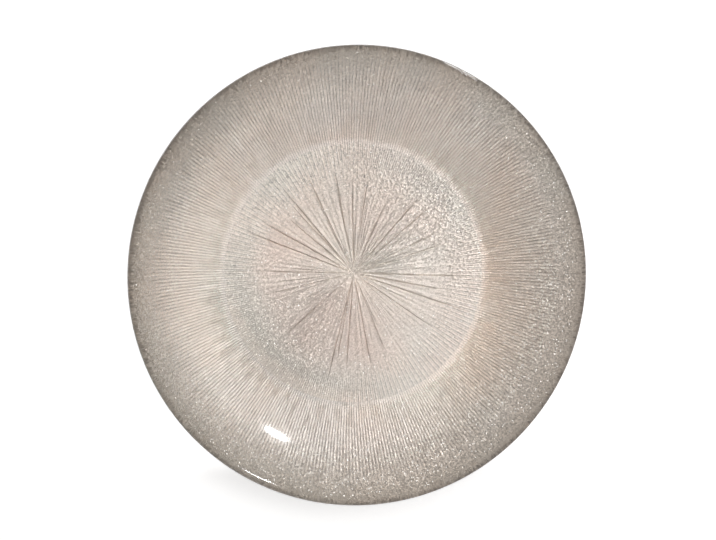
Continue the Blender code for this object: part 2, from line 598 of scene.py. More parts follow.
    def domes(self, x: Array, y: Array) -> Array:
        """Close-set domes, one round each point of a shaken grid.

        Args:
            x: Places across.
            y: Places up.

        Returns:
            Height there, from 0 between domes to 1 on top of one.
        """
        tile = self.pebble_tile
        shake = self.chance(Draw.PEBBLES).random((tile, tile, 2))
        column, row = x / self.pebble_pitch, y / self.pebble_pitch
        nearest = np.full_like(x, np.inf)
        for across, up in np.ndindex(3, 3):
            i = np.floor(column).astype(int) + across - 1
            j = np.floor(row).astype(int) + up - 1
            spot = shake[i % tile, j % tile]
            apart = np.hypot(i + spot[:, 0] - column, j + spot[:, 1] - row)
            nearest = np.minimum(nearest, apart)
        return np.clip(1.0 - nearest**2, 0.0, 1.0)


def strip(start: int, count: int, next_start: int, next_count: int) -> list[tuple[int, ...]]:
    """Faces between two rings.

    Args:
        start: Number of the first ring's first point.
        count: How many points the first ring has.
        next_start: Number of the second ring's first point.
        next_count: How many points the second ring has.

    Returns:
        Quads where the counts are alike, and otherwise triangles.
    """
    if count == next_count:
        a = start + np.arange(count)
        b = start + (np.arange(count) + 1) % count
        shift = next_start - start
        return [tuple(face) for face in np.stack([a, b, b + shift, a + shift], 1).tolist()]
    if count > next_count:
        return [face[::-1] for face in strip(next_start, next_count, start, count)]
    share = next_count // count
    middle = (share + 1) // 2
    faces = []
    for i in range(count):
        here, beyond = start + i, start + (i + 1) % count
        fine = [next_start + (i * share + k) % next_count for k in range(share + 1)]
        faces += [(here, fine[k + 1], fine[k]) for k in range(middle)]
        faces.append((here, beyond, fine[middle]))
        faces += [(beyond, fine[k + 1], fine[k]) for k in range(middle, share)]
    return faces


def fan(start: int, count: int, tip: int, flipped: bool) -> list[tuple[int, ...]]:
    """Triangles from a ring to one point on the axis, flipped at the far end of a surface."""
    around = [(start + i, start + (i + 1) % count) for i in range(count)]
    return [(a, b, tip) if flipped else (b, a, tip) for a, b in around]


def enclosed_volume(mesh: bpy.types.Mesh) -> float:
    """Measure the volume inside a closed mesh.

    Args:
        mesh: The mesh.

    Returns:
        The volume, below zero where the faces point in.
    """
    mesh.calc_loop_triangles()
    corners = np.empty(len(mesh.loop_triangles) * 3, np.int32)
    mesh.loop_triangles.foreach_get("vertices", corners)
    points = np.empty(len(mesh.vertices) * 3)
    mesh.vertices.foreach_get("co", points)
    a, b, c = points.reshape(-1, 3)[corners.reshape(-1, 3)].transpose(1, 0, 2)
    return float(np.einsum("ij,ij->i", a, np.cross(b, c)).sum() / 6)


class Skin:
    """A closed surface made of rings round the plate's axis, each joined to the next."""

    def __init__(self, name: str) -> None:
        """Start a surface with no rings."""
        self.name = name
        self.rings: list[Array] = []

    def add(self, radius: Array | float, height: Array | float, count: int = PLAIN_COUNT) -> None:
        """Add a ring.

        Args:
            radius: Distance from the axis, for the whole ring or for each of its points.
            height: Height, likewise.
            count: How many points the ring has; a neighbour's count divides it or is divided by it.
        """
        turn = turns(count)
        place = np.empty((count, 3))
        place[:, 0] = radius * np.cos(turn)
        place[:, 1] = radius * np.sin(turn)
        place[:, 2] = height
        self.rings.append(place)

    def add_line(self, points: Iterable[Point], count: int = PLAIN_COUNT) -> None:
        """Add a plain ring at each point of a profile."""
        for radius, height in points:
            self.add(radius, height, count)

    def add_ribs(
        self,
        shape: PlateShape,
        relief: Relief,
        below: float = 0.0,
        short: float = 0.0,
        share: float = 1.0,
        outward: bool = False,
    ) -> None:
        """Add ribbed rings along the rim.

        Args:
            shape: The plate's profile.
            relief: The relief that the ribs are part of.
            below: How far below the glass's plain back they lie.
            short: How far before the lip they end.
            share: How much of the ribs' depth they show.
            outward: True to go from the well out to the lip, False to come back.
        """
        start = shape.half_wall + below
        turn = turns(relief.fine_count)
        # A line one millimetre deeper gives the direction in which the ribs stand out
        pairs = list(zip(shape.wall(start, short), shape.wall(start + MM, short)))
        for (r0, z0), (r1, z1) in pairs if outward else reversed(pairs):
            depth = share * relief.rim_depth(r0, turn) / MM
            self.add(r0 + (r1 - r0) * depth, z0 + (z1 - z0) * depth, len(turn))

    def build(self, looped: bool, crisp: float = math.pi) -> Piece:
        """Join the rings into a mesh.

        Args:
            looped: True to join the last ring to the first, False to close each end on the axis.
            crisp: Faces that meet at more than this angle meet in a sharp edge.

        Returns:
            The new object, shaded smooth, in the scene.
        """
        counts = [len(ring) for ring in self.rings]
        starts = np.cumsum([0] + counts)
        faces: list[tuple[int, ...]] = []
        for i in range(len(counts) - 1):
            faces += strip(starts[i], counts[i], starts[i + 1], counts[i + 1])
        points = np.concatenate(self.rings)
        if looped:
            faces += strip(starts[-2], counts[-1], starts[0], counts[0])
        else:
            ends = [[0.0, 0.0, ring[:, 2].mean()] for ring in (self.rings[0], self.rings[-1])]
            points = np.concatenate([points, ends])
            faces += fan(starts[0], counts[0], starts[-1], flipped=False)
            faces += fan(starts[-2], counts[-1], starts[-1] + 1, flipped=True)
        mesh = bpy.data.meshes.new(self.name)
        mesh.from_pydata(points.tolist(), [], faces)
        if enclosed_volume(mesh) < 0.0:
            mesh.flip_normals()
        mesh.shade_smooth()
        mesh.set_sharp_from_angle(angle=crisp)
        mesh.update()
        obj = bpy.data.objects.new(self.name, mesh)
        bpy.context.scene.collection.objects.link(obj)
        return obj


class Board:
    """Places nodes in one tree and links them."""

    def __init__(self, tree: bpy.types.NodeTree) -> None:
        """Start on an empty tree."""
        self.tree = tree
        tree.nodes.clear()

    def add(self, kind: str, inputs: dict[Any, Any] | None = None, **settings: Any) -> bpy.types.Node:
        """Add a node.

        Args:
            kind: The node's type, without its ShaderNode prefix.
            inputs: Values or output sockets for its inputs, by name or number.
            settings: Values for its properties.

        Returns:
            The node.
        """
        node = self.tree.nodes.new(kind if kind.startswith("Node") else "ShaderNode" + kind)
        for name, value in settings.items():
            setattr(node, name, value)
        self.fill(node, inputs or {})
        return node

    def fill(self, node: bpy.types.Node, inputs: dict[Any, Any]) -> None:
        """Feed several of a node's inputs."""
        for key, value in inputs.items():
            self.feed(node.inputs[key], value)

    def feed(self, socket: Socket, value: Any) -> None:
        """Link a socket if the value is an output socket, and otherwise set its value."""
        if isinstance(value, Socket):
            self.tree.links.new(value, socket)
        else:
            socket.default_value = value

    def group(self, tree: bpy.types.NodeTree, inputs: dict[str, Any]) -> Any:
        """The outputs of a node group that is fed with these values."""
        return self.add("Group", inputs, node_tree=tree).outputs

    def maths(self, operation: str, *values: Any) -> Socket:
        """The result of a Math node on these values."""
        return self.add("Math", dict(enumerate(values)), operation=operation).outputs[0]

    def times(self, *values: Any) -> Socket:
        """The product of these values."""
        return reduce(lambda product, value: self.maths("MULTIPLY", product, value), values)

    def vector(self, operation: str, *values: Any) -> Socket:
        """The vector that a Vector Math node gives for these values."""
        return self.add("VectorMath", dict(enumerate(values)), operation=operation).outputs[0]

    def scaled(self, vector: Socket, scale: Any) -> Socket:
        """A vector times a number."""
        return self.add("VectorMath", {0: vector, "Scale": scale}, operation="SCALE").outputs[0]

    def between(self, value: Any, low: Any, high: Any, to_low: Any = 0.0, to_high: Any = 1.0) -> Socket:
        """A value brought smoothly from one range, which low and high end, to another."""
        inputs = {0: value, 1: low, 2: high, 3: to_low, 4: to_high}
        return self.add("MapRange", inputs, interpolation_type="SMOOTHSTEP").outputs[0]

    def blend(self, factor: Any, first: Any, second: Any, kind: str = "MIX") -> Socket:
        """A mix of two colours, with the given share of the second."""
        node = self.add("Mix", {0: factor, 6: first, 7: second}, data_type="RGBA", blend_type=kind)
        return node.outputs[2]

    def place(self) -> Socket:
        """Where on the plate a point is, in metres."""
        return self.add("TexCoord").outputs["Object"]

    def radius(self) -> Socket:
        """How far from the plate's axis a point is, in metres."""
        across = self.vector("MULTIPLY", self.place(), (1.0, 1.0, 0.0))
        return self.add("VectorMath", {0: across}, operation="LENGTH").outputs["Value"]

    def along(self, side: Any) -> Socket:
        """How far from the plate's axis towards one side a point is, in metres."""
        return self.add("VectorMath", {0: self.place(), 1: side}, operation="DOT_PRODUCT").outputs["Value"]

    def per_metre(self, size: Any) -> Any:
        """How many times a size goes into a metre."""
        return self.maths("DIVIDE", 1.0, size) if isinstance(size, Socket) else 1.0 / size

    def noise(self, size: Any, detail: float = 2.0) -> Socket:
        """Soft noise with lumps of about the given size."""
        inputs = {"Vector": self.place(), "Scale": self.per_metre(size), "Detail": detail}
        return self.add("TexNoise", inputs).outputs[0]

    def bump(self, height: Socket, distance: float) -> Socket:
        """The normal of a surface that rises by up to the given distance."""
        return self.add("Bump", {"Height": height, "Strength": 1.0, "Distance": distance}).outputs[0]

    def rib_wave(self, count: int) -> Socket:
        """How high up one of so many round ribs a point is, from 0 to 1.

        Args:
            count: How many ribs go once round the plate.

        Returns:
            The height.
        """
        x, y, _ = self.add("SeparateXYZ", {0: self.place()}).outputs
        turn = self.maths("MULTIPLY", self.maths("ARCTAN2", y, x), count / 2)
        return self.maths("ABSOLUTE", self.maths("SINE", turn))


def new_group(name: str, takes: dict[str, tuple[str, Any]], gives: dict[str, str]) -> tuple[Board, Any, Any]:
    """Start a shader node group.

    Args:
        name: The group's name.
        takes: Type and default of each input, by name.
        gives: Type of each output, by name.

    Returns:
        Its board, its input node's outputs and its output node's inputs.
    """
    tree = bpy.data.node_groups.new(name, "ShaderNodeTree")
    for socket, (kind, value) in takes.items():
        made = tree.interface.new_socket(socket, in_out="INPUT", socket_type="NodeSocket" + kind)
        made.default_value = value
    for socket, kind in gives.items():
        tree.interface.new_socket(socket, in_out="OUTPUT", socket_type="NodeSocket" + kind)
    board = Board(tree)
    return board, board.add("NodeGroupInput").outputs, board.add("NodeGroupOutput").inputs


def flake_group(flash_scale: float = 0.75, flash_edges: Point = (0.5, 0.3)) -> bpy.types.NodeTree:
    """Glitter flakes: a normal that leans its own way on each, a grain, and a mask of those that flash.

    Args:
        flash_scale: How many flashing flakes go into the length of one plain flake.
        flash_edges: How far from its middle a flash ends, and where it is full, in its own widths.

    Returns:
        The node group.
    """
    takes = {
        "Flake Size": ("Float", 0.4 * MM),
        "Lean": ("Float", 0.3),
        "Flash Share": ("Float", 0.05),
        "Flash Facing": ("Vector", (0.0, 0.0, 1.0)),
    }
    gives = {"Normal": "Vector", "Grain": "Float", "Flash": "Float"}
    board, takes, gives = new_group("glitter_flakes", takes, gives)
    place = board.place()
    per_metre = board.per_metre(takes["Flake Size"])
    fine = board.add("TexVoronoi", {"Vector": place, "Scale": per_metre}).outputs["Color"]
    lean = board.scaled(board.vector("SUBTRACT", fine, (0.5, 0.5, 0.5)), takes["Lean"])
    board.feed(gives["Grain"], board.add("SeparateColor", {0: fine}).outputs[0])
    scale = board.maths("MULTIPLY", per_metre, flash_scale)
    large = board.add("TexVoronoi", {"Vector": place, "Scale": scale}).outputs
    first, chance, second = board.add("SeparateColor", {0: large["Color"]}).outputs
    picked = board.maths("LESS_THAN", chance, takes["Flash Share"])
    flash = board.times(picked, board.between(large["Distance"], *flash_edges))
    board.feed(gives["Flash"], flash)
    tilt = board.add("CombineXYZ", {0: first, 1: second}).outputs[0]
    tilt = board.scaled(board.vector("SUBTRACT", tilt, (0.5, 0.5, 0.0)), takes["Lean"])
    flashing = board.vector("ADD", takes["Flash Facing"], tilt)
    surface = board.vector("ADD", board.add("NewGeometry").outputs["Normal"], lean)
    board.feed(gives["Normal"], board.vector("NORMALIZE", board.blend(flash, surface, flashing)))
    return board.tree


def drift_group(detail: float = 3.0, edges: Point = (0.35, 0.65)) -> bpy.types.NodeTree:
    """Slow drift between two tints, as a spray leaves it.

    Args:
        detail: How finely the patches break up.
        edges: The noise at which the tint begins to turn warm, and at which it is warm.

    Returns:
        The node group.
    """
    takes = {"Patch Size": ("Float", 30 * MM), "Cool": ("Color", WHITE), "Warm": ("Color", WHITE)}
    board, takes, gives = new_group("tint_drift", takes, {"Color": "Color"})
    share = board.between(board.noise(takes["Patch Size"], detail), *edges)
    board.feed(gives["Color"], board.blend(share, takes["Cool"], takes["Warm"]))
    return board.tree


def painted_light_group() -> bpy.types.NodeTree:
    """Painted light or shade laid as a tint over one patch of a coat, on one side of the plate and between
    two rings.

    Returns:
        The node group, which takes both ends of each of the patch's limits.
    """
    names = ("Front", "Spread", "Rise", "Fall")
    takes = {"Color": ("Color", WHITE), "Tint": ("Color", WHITE), "Side": ("Vector", (1.0, 0.0, 0.0))}
    takes |= {name + end: ("Float", 0.0) for name in names for end in LIMIT_ENDS}
    board, takes, gives = new_group("tint_patch", takes, {"Color": "Color"})
    radius, along = board.radius(), board.along(takes["Side"])
    measures = (along, board.maths("DIVIDE", along, radius), radius, radius)
    limits = [[takes[name + end] for end in LIMIT_ENDS] for name in names]
    mask = board.times(*(board.between(value, *pair) for value, pair in zip(measures, limits)))
    board.feed(gives["Color"], board.blend(mask, takes["Color"], takes["Tint"], "MULTIPLY"))
    return board.tree


def ripple_group() -> bpy.types.NodeTree:
    """Low lumps of a poured or sprayed surface, as a height for a bump.

    Returns:
        The node group.
    """
    board, takes, gives = new_group("surface_ripple", {"Lump Size": ("Float", 2 * MM)}, {"Height": "Float"})
    board.feed(gives["Height"], board.noise(takes["Lump Size"], detail=1.0))
    return board.tree


@dataclass
class Effects:
    """The node groups that the finishes share."""

    flakes: bpy.types.NodeTree = field(default_factory=flake_group)
    drift: bpy.types.NodeTree = field(default_factory=drift_group)
    # Lays painted light and shade over the glitter coats
    patch: bpy.types.NodeTree = field(default_factory=painted_light_group)
    ripple: bpy.types.NodeTree = field(default_factory=ripple_group)

    def lumps(self, board: Board, size: float, height: float) -> Socket:
        """The normal of a surface with lumps of the given size and height."""
        return board.bump(board.group(self.ripple, {"Lump Size": size})["Height"], height)

    def tints(self, board: Board, patch_size: float, cool: Colour, warm: Colour) -> Socket:
        """A colour that drifts between two tints."""
        inputs = {"Patch Size": patch_size, "Cool": (*cool, 1.0), "Warm": (*warm, 1.0)}
        return board.group(self.drift, inputs)["Color"]


def start_material(name: str) -> tuple[Material, Board, bpy.types.Node]:
    """Start a material with a Principled shader on its output.

    Args:
        name: The material's name.

    Returns:
        The material, its board and the shader.
    """
    material = bpy.data.materials.new(name)
    material.use_nodes = True
    board = Board(material.node_tree)
    shader = board.add("BsdfPrincipled")
    board.add("OutputMaterial", {"Surface": shader.outputs[0]})
    return material, board, shader


@dataclass(frozen=True)
class Finish:
    """A finish, which makes a material under its own name."""

    name: str

    def inputs(self, board: Board, effects: Effects) -> dict[str, Any]:
        """What the material's shader takes, by the names of its inputs."""
        raise NotImplementedError

    def material(self, effects: Effects) -> Material:
        """Make the material.

        Args:
            effects: The shared node groups.

        Returns:
            The material.
        """
        material, board, shader = start_material(self.name)
        board.fill(shader, self.inputs(board, effects))
        return material


@dataclass(frozen=True)
class GlassFinish(Finish):
    """Clear glass, fire-polished on the face, with the faint waves that a press leaves."""

    name: str = "clear_glass"
    tint: Colour = (0.985, 0.99, 0.985)
    index: float = 1.5
    roughness: float = 0.03
    polish_weight: float = 1.0
    polish_roughness: float = 0.09
    wave_size: float = 14 * MM
    wave_height: float = 0.006 * MM

    def inputs(self, board: Board, effects: Effects) -> dict[str, Any]:
        """What the material's shader takes, by the names of its inputs."""
        return {
            "Base Color": (*self.tint, 1.0),
            "Roughness": self.roughness,
            "IOR": self.index,
            "Transmission Weight": 1.0,
            "Coat Weight": self.polish_weight,
            "Coat Roughness": self.polish_roughness,
            "Normal": effects.lumps(board, self.wave_size, self.wave_height),
        }


@dataclass(frozen=True)
class Patch:
    """Painted light and shade: a patch of a coat made lighter, darker or in another tint than the rest,
    where light or shade falls.

    Each limit is a pair: where the patch begins to show, and where it shows in full. The
    front lies along the bearing, the spread is an angle off it, and rise and fall are radii.
    The bearing and the spread are in degrees. A limit that isn't given takes in all the plate.
    """

    tint: Colour
    bearing: float = 0.0
    front: Point = EVERYWHERE
    spread: Point | None = None
    rise: Point = EVERYWHERE
    fall: Point = (2.0, 1.0)

    def lay(self, board: Board, effects: Effects, colour: Socket) -> Socket:
        """Lay the patch over a coat's colour.

        Args:
            board: The material's board.
            effects: The shared node groups.
            colour: The coat's colour.

        Returns:
            The colour with the patch on it.
        """
        turn = math.radians(self.bearing)
        facing = [math.cos(math.radians(off)) for off in self.spread or ()] or EVERYWHERE
        limits = {"Front": self.front, "Spread": facing, "Rise": self.rise, "Fall": self.fall}
        inputs = {name + end: at for name, pair in limits.items() for end, at in zip(LIMIT_ENDS, pair)}
        inputs |= {"Color": colour, "Tint": (*self.tint, 1.0)}
        inputs["Side"] = (math.cos(turn), math.sin(turn), 0.0)
        return board.group(effects.patch, inputs)["Color"]


@dataclass(frozen=True)
class GlitterFinish(Finish):
    """Champagne lacquer full of fine flakes that lean every way, a few of which flash."""

    cool: Colour = (0.737, 0.68, 0.618)
    warm: Colour = (0.756, 0.667, 0.599)
    flash: Colour = (0.96, 0.94, 0.91)
    patch_size: float = 34 * MM
    flake_size: float = 0.5 * MM
    lean: float = 0.26
    flash_share: float = 0.02
    flash_facing: Side = (0.08, 0.11, 1.0)
    grain_depth: float = 0.06
    roughness: float = 0.33
    flash_roughness: float = 0.28
    metallic: float = 0.85
    anisotropy: float = 0.75
    # Painted light and shade, laid over the lacquer one patch after another
    patches: tuple[Patch, ...] = ()

    def tone(self, board: Board, grain: Socket) -> Socket:
        """How bright the lacquer is at each point, beside its tint."""
        return board.between(grain, 0.0, 1.0, 1.0 - self.grain_depth, 1.0 + self.grain_depth)

    def share(self, board: Board) -> Any:
        """What share of the flakes flash at each point."""
        return self.flash_share

    def facing(self, board: Board) -> Any:
        """Which way the flakes that flash face at each point."""
        return self.flash_facing

    def inputs(self, board: Board, effects: Effects) -> dict[str, Any]:
        """What the material's shader takes, by the names of its inputs.

        Args:
            board: The material's board.
            effects: The shared node groups.

        Returns:
            Values and output sockets.
        """
        inputs = {"Flake Size": self.flake_size, "Lean": self.lean}
        inputs |= {"Flash Facing": self.facing(board), "Flash Share": self.share(board)}
        flakes = board.group(effects.flakes, inputs)
        tint = effects.tints(board, self.patch_size, self.cool, self.warm)
        lacquer = board.scaled(tint, self.tone(board, flakes["Grain"]))
        # Lay the painted light and shade over the lacquer
        for patch in self.patches:
            lacquer = patch.lay(board, effects, lacquer)
        return {
            "Base Color": board.blend(flakes["Flash"], lacquer, (*self.flash, 1.0)),
            "Roughness": board.between(flakes["Flash"], 0.0, 1.0, self.roughness, self.flash_roughness),
            "Metallic": self.metallic,
            "Anisotropic": self.anisotropy,
            "Normal": flakes["Normal"],
            "Tangent": board.add("Tangent", direction_type="RADIAL", axis="Z").outputs[0],
        }


@dataclass(frozen=True)
class WellGlitterFinish(GlitterFinish):
    """The same lacquer under the well, with painted shade in the cracks between the pebbles and painted
    light and shade on its ribs.
    """

    # Painted shade in the cracks between the pebbles, deeper on one side and less on the calm side
    crack_pitch: float = 1.5 * MM
    crack_width: float = 0.13
    crack_patch: float = 1.8 * MM
    crack_noise: Point = (0.4, 0.65)
    crack_shade_depth: float = 0.31
    crack_edges: Point = mm(16, 46)
    crack_least: float = 0.15
    crack_shade_side: Side = (-0.5, 0.87, 0.0)
    crack_reach: Point = mm(-50, 50)
    crack_shares: Point = (0.2, 1.4)
    calm_side: Side = (-0.74, -0.67, 0.0)
    calm_reach: Point = mm(-4, 34)
    calm_share: float = 0.3
    # Painted light and shade on the ribs that run on into the well
    stripe_count: int = 180
    stripe_shade_depth: float = 0.2
    stripe_least: float = 0.3
    stripe_noise: Point = (0.35, 0.6)
    stripe_patch: float = 2.4 * MM
    stripe_edges: Point = mm(36, 47)
    stripe_side: Side = (-0.77, 0.64, 0.0)
    stripe_reach: Point = mm(24, 44)
    stripe_range: Point = (-1.27, 0.73)
    patches: tuple[Patch, ...] = (
        # Painted light: lighter towards the well's edge
        Patch((1.07, 1.075, 1.08), rise=mm(44, 58)),
        # Painted light: brighter middle
        Patch((1.26, 1.25, 1.24), fall=mm(16, 0)),
        # Painted shade: darker towards the side at bearing 288°
        Patch((0.89, 0.89, 0.89), 288, front=mm(-5, 40)),
        # Painted shade: darker round bearing 298°, away from the middle
        Patch((0.945, 0.945, 0.945), 298, spread=(45, 12), rise=mm(10, 25)),
        # Painted shade: darker ring near the edge round bearing 62°
        Patch((0.92, 0.91, 0.91), 62, spread=(42, 10), rise=mm(46, 56)),
        # Painted reflection: a rosy tint towards bearing 228°
        Patch((1.05, 0.99, 0.98), 228, front=mm(-5, 25), fall=mm(54, 36)),
        # Painted shade: darker and rosier towards bearing 92°
        Patch((0.97, 0.94, 0.93), 92, front=mm(0, 20), fall=mm(54, 36)),
        # Painted light: lighter towards bearing 2°
        Patch((1.085, 1.095, 1.105), 2, front=mm(0, 34)),
        # Painted shade: darker towards bearing 185°
        Patch((0.94, 0.95, 0.95), 185, front=mm(10, 40)),
        # Painted light: lighter at the edge round bearing 230°
        Patch((1.19, 1.17, 1.16), 230, front=mm(38, 52), rise=mm(51, 56)),
    )

    def tone(self, board: Board, grain: Socket) -> Socket:
        """How bright the lacquer is at each point, beside its tint, with painted shade in the pebbles'
        cracks and painted light and shade on the ribs.

        Args:
            board: The material's board.
            grain: The flakes' own grain.

        Returns:
            The brightness, where 1 leaves the tint as it is.
        """
        inputs = {"Vector": board.place(), "Scale": 1.0 / self.crack_pitch}
        pebbles = board.add("TexVoronoi", inputs, feature="DISTANCE_TO_EDGE")
        crack_shade = board.times(
            board.between(pebbles.outputs["Distance"], self.crack_width, 0.0),
            board.between(board.noise(self.crack_patch), *self.crack_noise, 0.0, self.crack_shade_depth),
            board.between(board.radius(), *self.crack_edges, self.crack_least, 1.0),
            board.between(board.along(self.crack_shade_side), *self.crack_reach, *self.crack_shares),
            board.between(board.along(self.calm_side), *self.calm_reach, 1.0, self.calm_share),
        )
        unshaded_by_cracks = board.maths("SUBTRACT", 1.0, crack_shade)
        return board.times(super().tone(board, grain), unshaded_by_cracks, self.painted_rib_shading(board))

    def painted_rib_shading(self, board: Board) -> Socket:
        """Painted light and shade on the ribs that run on from the rim: lighter crests and darker grooves,
        strongest on two opposite sides.

        Args:
            board: The material's board.

        Returns:
            The brightness, where 1 leaves the tint as it is.
        """
        depths = (self.stripe_least * self.stripe_shade_depth, self.stripe_shade_depth)
        side = board.maths("ABSOLUTE", board.along(self.stripe_side))
        depth = board.times(
            board.between(board.noise(self.stripe_patch), *self.stripe_noise, *depths),
            board.between(board.radius(), *self.stripe_edges),
            board.between(side, *self.stripe_reach),
        )
        wave = board.between(board.rib_wave(self.stripe_count), 0.0, 1.0, *self.stripe_range)
        return board.maths("MULTIPLY_ADD", wave, depth, 1.0)


@dataclass(frozen=True)
class RimGlitterFinish(GlitterFinish):
    """The same lacquer under the rim, with painted shade in the ribs' grooves and painted shade that darkens
    it towards the lip.
    """

    # Painted light: lighter tints than the well's, for the same lacquer, to make up for the light the
    # steeper rim loses
    cool: Colour = (0.94, 0.87, 0.805)
    warm: Colour = (0.955, 0.852, 0.772)
    lean: float = 0.3
    flash_share: float = 0.09
    flash_edges: Point = mm(74, 92)
    flash_least: float = 0.2
    # More flakes flash towards this side: painted glints
    flash_side: Side = (0.6, -0.8, 0.0)
    flash_front: Point = mm(-30, 60)
    flash_facing: Side = (0.1, 0.12, 1.0)
    flash_turn: float = -1.05
    far_flash: float = 0.06
    calm: Point = mm(100.5, 103.5)
    outer_grain: float = 0.18
    grain_side: Side = (-0.2, -0.98, 0.0)
    grain_front: Point = mm(-70, 0)
    far_grain: float = 0.4
    metallic: float = 0.9
    anisotropy: float = 0.2
    rib_count: int = 360
    # Painted shade in the ribs' grooves
    groove_shade_depth: float = 0.42
    groove_least: float = 0.45
    groove_width: float = 0.6
    groove_patch: float = 5 * MM
    groove_noise: Point = (0.3, 0.7)
    groove_fade: Point = mm(85, 98)
    far_groove_fade: Point = mm(95, 104)
    groove_kept: float = 0.15
    patches: tuple[Patch, ...] = (
        # Painted shade: darker where the rim leaves the well
        Patch((0.87, 0.87, 0.87), fall=mm(64, 59)),
        # Painted light: lighter on the rim's inner part
        Patch((1.06, 1.06, 1.06), fall=mm(70, 61)),
        # Painted sheen on the inner rim round bearing 310°
        Patch((1.05, 1.05, 1.05), 310, front=mm(30, 58), rise=mm(59.5, 63), fall=mm(82, 66)),
        # Painted reflection: a warm tint on the inner rim round bearing 352°
        Patch((0.955, 0.92, 0.89), 352, front=mm(48, 66), fall=mm(100, 76)),
        # Painted light: lighter and cooler round bearing 178°
        Patch((1.03, 1.05, 1.06), 178, spread=(42, 8), fall=mm(81, 69)),
        # Painted light: lighter on the inner rim round bearing 215°
        Patch((1.05, 1.05, 1.05), 215, spread=(40, 10), fall=mm(68, 62)),
        # Painted light: lighter round bearing 38°
        Patch((1.06, 1.045, 1.045), 38, spread=(42, 8), fall=mm(96, 88)),
        # Painted shade: darker round bearing 108°
        Patch((0.93, 0.92, 0.925), 108, spread=(48, 15), fall=mm(86, 74)),
        # Painted shade: darker round bearing 250°
        Patch((0.93, 0.94, 0.95), 250, spread=(45, 10), fall=mm(90, 78)),
        # Painted light: lighter outer rim on the half towards bearing 40°
        Patch((1.09, 1.09, 1.10), 40, spread=(100, 60), rise=mm(84, 95)),
        # Painted shade: darker outer rim on the half towards bearing 195°
        Patch((0.85, 0.845, 0.84), 195, spread=(85, 45), rise=mm(82, 96)),
        # Painted shade: darker towards the lip, where the rim grows steep
        Patch((0.69, 0.675, 0.64), rise=mm(80, 106)),
        # Painted shade: a dark line along the lip
        Patch((0.65, 0.65, 0.65), rise=mm(103, 104.6)),
    )

    def tone(self, board: Board, grain: Socket) -> Socket:
        """How bright the lacquer is at each point, beside its tint, with painted shade in the ribs' grooves
        that fades out towards the lip, sooner on one side.

        Args:
            board: The material's board.
            grain: The flakes' own grain.

        Returns:
            The brightness, where 1 leaves the tint as it is.
        """
        radius = board.radius()
        sided = board.between(board.along(self.grain_side), *self.grain_front)
        far = board.between(radius, *self.far_groove_fade, 1.0, self.groove_kept)
        near = board.between(radius, *self.groove_fade, 1.0, self.groove_kept)
        kept = board.maths("MULTIPLY_ADD", board.maths("SUBTRACT", near, far), sided, far)
        depths = (self.groove_least * self.groove_shade_depth, self.groove_shade_depth)
        groove_shade = board.times(
            board.between(board.rib_wave(self.rib_count), self.groove_width, 0.0),
            board.between(board.noise(self.groove_patch), *self.groove_noise, *depths),
            kept,
        )
        unshaded_by_grooves = board.maths("SUBTRACT", 1.0, groove_shade)
        strewn = board.times(
            board.between(radius, *self.flash_edges, 0.0, self.outer_grain),
            board.between(radius, *self.calm, 1.0, 0.0),
            board.between(sided, 0.0, 1.0, self.far_grain, 1.0),
        )
        speck = board.maths("MULTIPLY_ADD", board.between(grain, 0.0, 1.0, -1.0, 1.0), strewn, 1.0)
        return board.times(super().tone(board, grain), unshaded_by_grooves, speck)

    def share(self, board: Board) -> Any:
        """What share of the flakes flash at each point: more on the outer rim and on the side at bearing
        307°. The silver flakes are the lacquer's own, and their larger share on that side is painted glints.

        Args:
            board: The material's board.

        Returns:
            The share.
        """
        radius = board.radius()
        shares = (self.far_flash * self.flash_share, self.flash_share)
        return board.times(
            board.between(radius, *self.flash_edges, self.flash_least, 1.0),
            board.between(radius, *self.calm, 1.0, 0.0),
            board.between(board.along(self.flash_side), *self.flash_front, *shares),
        )

    def facing(self, board: Board) -> Any:
        """Which way the flakes that flash face at each point: the more inward, the further out."""
        inward = board.vector("MULTIPLY", board.place(), (self.flash_turn, self.flash_turn, 0.0))
        return board.vector("ADD", inward, self.flash_facing)


@dataclass(frozen=True)
class GroundFinish(Finish):
    """Opaque beige ground lacquer with a sprayed, slightly lumpy skin."""

    name: str = "beige_ground"
    cool: Colour = (0.37, 0.33, 0.29)
    warm: Colour = (0.40, 0.34, 0.295)
    patch_size: float = 45 * MM
    lump_size: float = 0.9 * MM
    lump_height: float = 0.03 * MM
    roughness: float = 0.55

    def inputs(self, board: Board, effects: Effects) -> dict[str, Any]:
        """What the material's shader takes, by the names of its inputs."""
        return {
            "Base Color": effects.tints(board, self.patch_size, self.cool, self.warm),
            "Roughness": self.roughness,
            "Normal": effects.lumps(board, self.lump_size, self.lump_height),
        }


@dataclass(frozen=True)
class SealFinish(Finish):
    """Clear sealing varnish, glossy, with the orange peel of a spray."""

    name: str = "clear_seal"
    tint: Colour = (0.97, 0.95, 0.92)
    index: float = 1.45
    roughness: float = 0.12
    lump_size: float = 1.6 * MM
    lump_height: float = 0.02 * MM

    def inputs(self, board: Board, effects: Effects) -> dict[str, Any]:
        """What the material's shader takes, by the names of its inputs."""
        return {
            "Base Color": (*self.tint, 1.0),
            "Roughness": self.roughness,
            "IOR": self.index,
            "Transmission Weight": 1.0,
            "Normal": effects.lumps(board, self.lump_size, self.lump_height),
        }


def place_piece(obj: Piece, node: str, slot: str, material: Material) -> None:
    """Dress a piece, and let it stand for its node on the plate's body.

    Args:
        obj: The piece.
        node: The node it stands for.
        slot: The record's slot for its finish. Not used.
        material: Its material.
    """
    obj.data.materials.append(material)
    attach(obj, BODY)
    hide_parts(node)
    LOG.info("%s stands for %s, %d faces", obj.name, node, len(obj.data.polygons))


